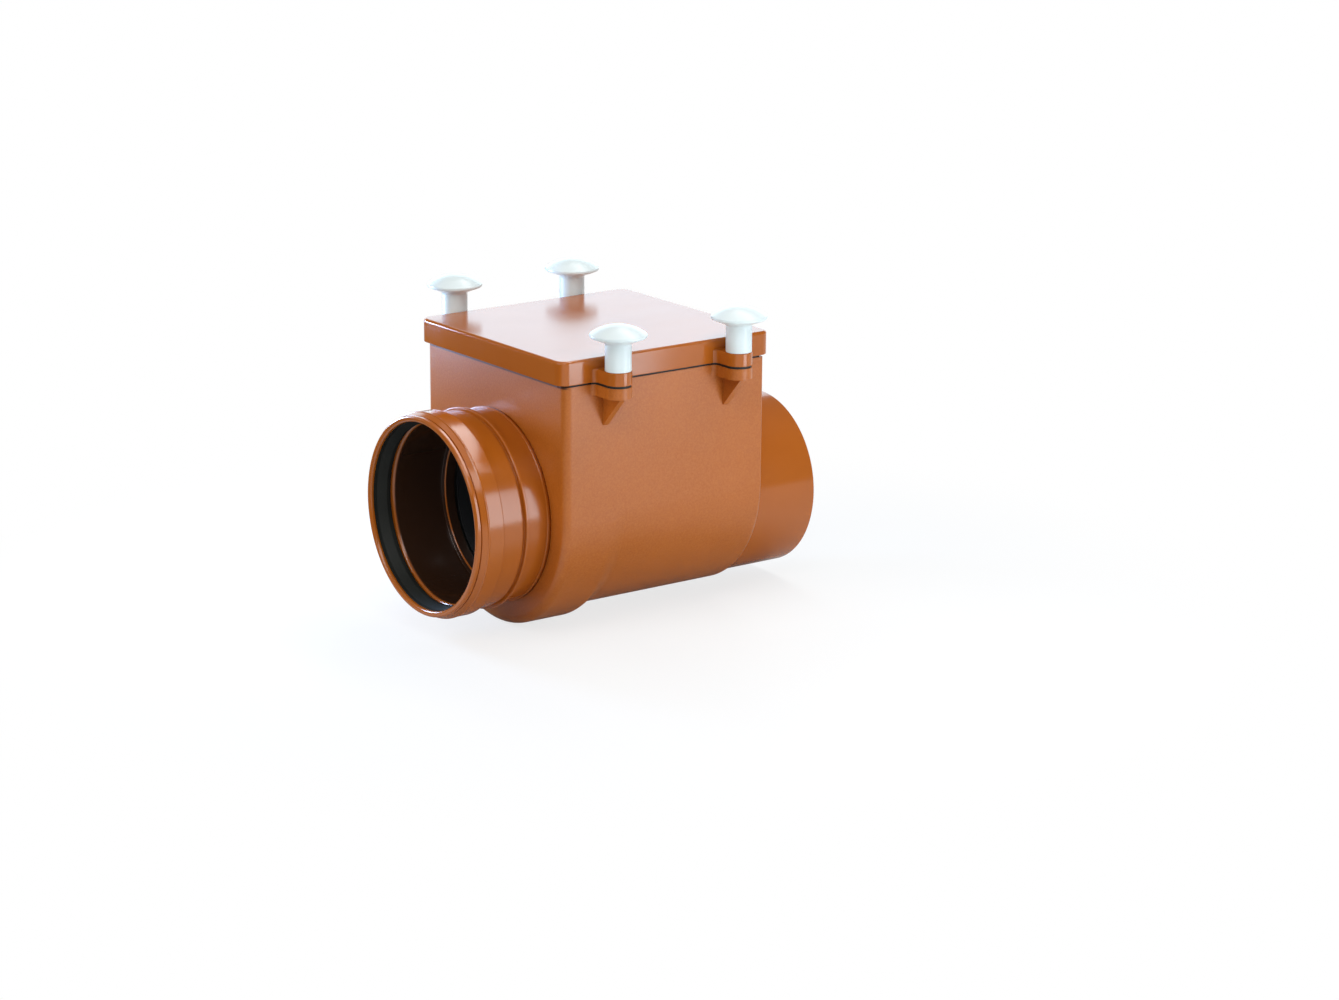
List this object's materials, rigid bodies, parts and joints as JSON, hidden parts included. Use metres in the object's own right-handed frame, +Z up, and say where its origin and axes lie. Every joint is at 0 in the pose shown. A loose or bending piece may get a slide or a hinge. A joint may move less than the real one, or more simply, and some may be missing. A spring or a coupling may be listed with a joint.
{
  "type": "backwater valve",
  "caption": "Orange plastic drain backwater valve: U-shaped housing with pipe socket, pipe spigot, hand-screwed lid and a hanging flap on a slide-in seat frame.",
  "frame": {"origin": "on the inlet socket's axis, at its pipe stop", "axes": "+X with the flow from the inlet socket to the outlet spigot, +Z up to the lid"},
  "size_m": [0.2583, 0.2088, 0.198],
  "materials": {
    "moulded_orange": "fine moulded grain",
    "gloss_orange": "glossy",
    "white_plastic": "satin",
    "black_rubber": "matte",
    "dark_grey_plastic": "satin",
    "stainless": "brushed",
    "brass": "turned"
  },
  "bodies": {
    "housing": {"valve_housing": "moulded_orange", "inlet_socket": "gloss_orange", "socket_lip_seal": "black_rubber", "outlet_spigot": "gloss_orange", "lid_gasket": "black_rubber", "thread_inserts": "brass", "flap_frame": "dark_grey_plastic", "frame_gasket": "black_rubber", "hinge_bushes": "white_plastic"},
    "lid": {"lid": "gloss_orange", "hold_down_pads": "black_rubber"},
    "flap": {"flap": "dark_grey_plastic", "flap_seal": "black_rubber", "seal_retainer": "dark_grey_plastic", "retainer_screws": "stainless", "hinge_pin": "stainless", "pin_clips": "stainless"},
    "washer_1": {"screw_washer_1": "black_rubber"},
    "screw_1": {"hand_screw_1": "white_plastic"},
    "washer_2": {"screw_washer_2": "black_rubber"},
    "screw_2": {"hand_screw_2": "white_plastic"},
    "washer_3": {"screw_washer_3": "black_rubber"},
    "screw_3": {"hand_screw_3": "white_plastic"},
    "washer_4": {"screw_washer_4": "black_rubber"},
    "screw_4": {"hand_screw_4": "white_plastic"}
  },
  "joints": [
    {"name": "flap_swing", "type": "hinge", "parent": "housing", "child": "flap", "pos_m": [0.02173, 0, 0.06706], "axis": [0, -1, 0], "range_deg": [0, 60]},
    {"name": "lid_lift", "type": "slide", "parent": "housing", "child": "lid", "axis": [0, 0, 1], "range_m": [0, 0.08]},
    {"name": "screw_1_rise", "type": "slide", "parent": "lid", "child": "washer_1", "axis": [0, 0, 1], "range_m": [0, 0.006]},
    {"name": "screw_1_turn", "type": "hinge", "parent": "washer_1", "child": "screw_1", "pos_m": [0.0316, -0.0873, 0.096], "axis": [0, 0, 1], "range_deg": [0, 720]},
    {"name": "screw_2_rise", "type": "slide", "parent": "lid", "child": "washer_2", "axis": [0, 0, 1], "range_m": [0, 0.006]},
    {"name": "screw_2_turn", "type": "hinge", "parent": "washer_2", "child": "screw_2", "pos_m": [0.1206, -0.0873, 0.096], "axis": [0, 0, 1], "range_deg": [0, 720]},
    {"name": "screw_3_rise", "type": "slide", "parent": "lid", "child": "washer_3", "axis": [0, 0, 1], "range_m": [0, 0.006]},
    {"name": "screw_3_turn", "type": "hinge", "parent": "washer_3", "child": "screw_3", "pos_m": [0.0316, 0.0873, 0.096], "axis": [0, 0, 1], "range_deg": [0, 720]},
    {"name": "screw_4_rise", "type": "slide", "parent": "lid", "child": "washer_4", "axis": [0, 0, 1], "range_m": [0, 0.006]},
    {"name": "screw_4_turn", "type": "hinge", "parent": "washer_4", "child": "screw_4", "pos_m": [0.1206, 0.0873, 0.096], "axis": [0, 0, 1], "range_deg": [0, 720]}
  ],
  "couplings": [
    {"joint": "screw_1_turn", "follows": "screw_1_rise", "rad_per_m": 2094.4},
    {"joint": "screw_2_turn", "follows": "screw_2_rise", "rad_per_m": 2094.4},
    {"joint": "screw_3_turn", "follows": "screw_3_rise", "rad_per_m": 2094.4},
    {"joint": "screw_4_turn", "follows": "screw_4_rise", "rad_per_m": 2094.4}
  ]
}
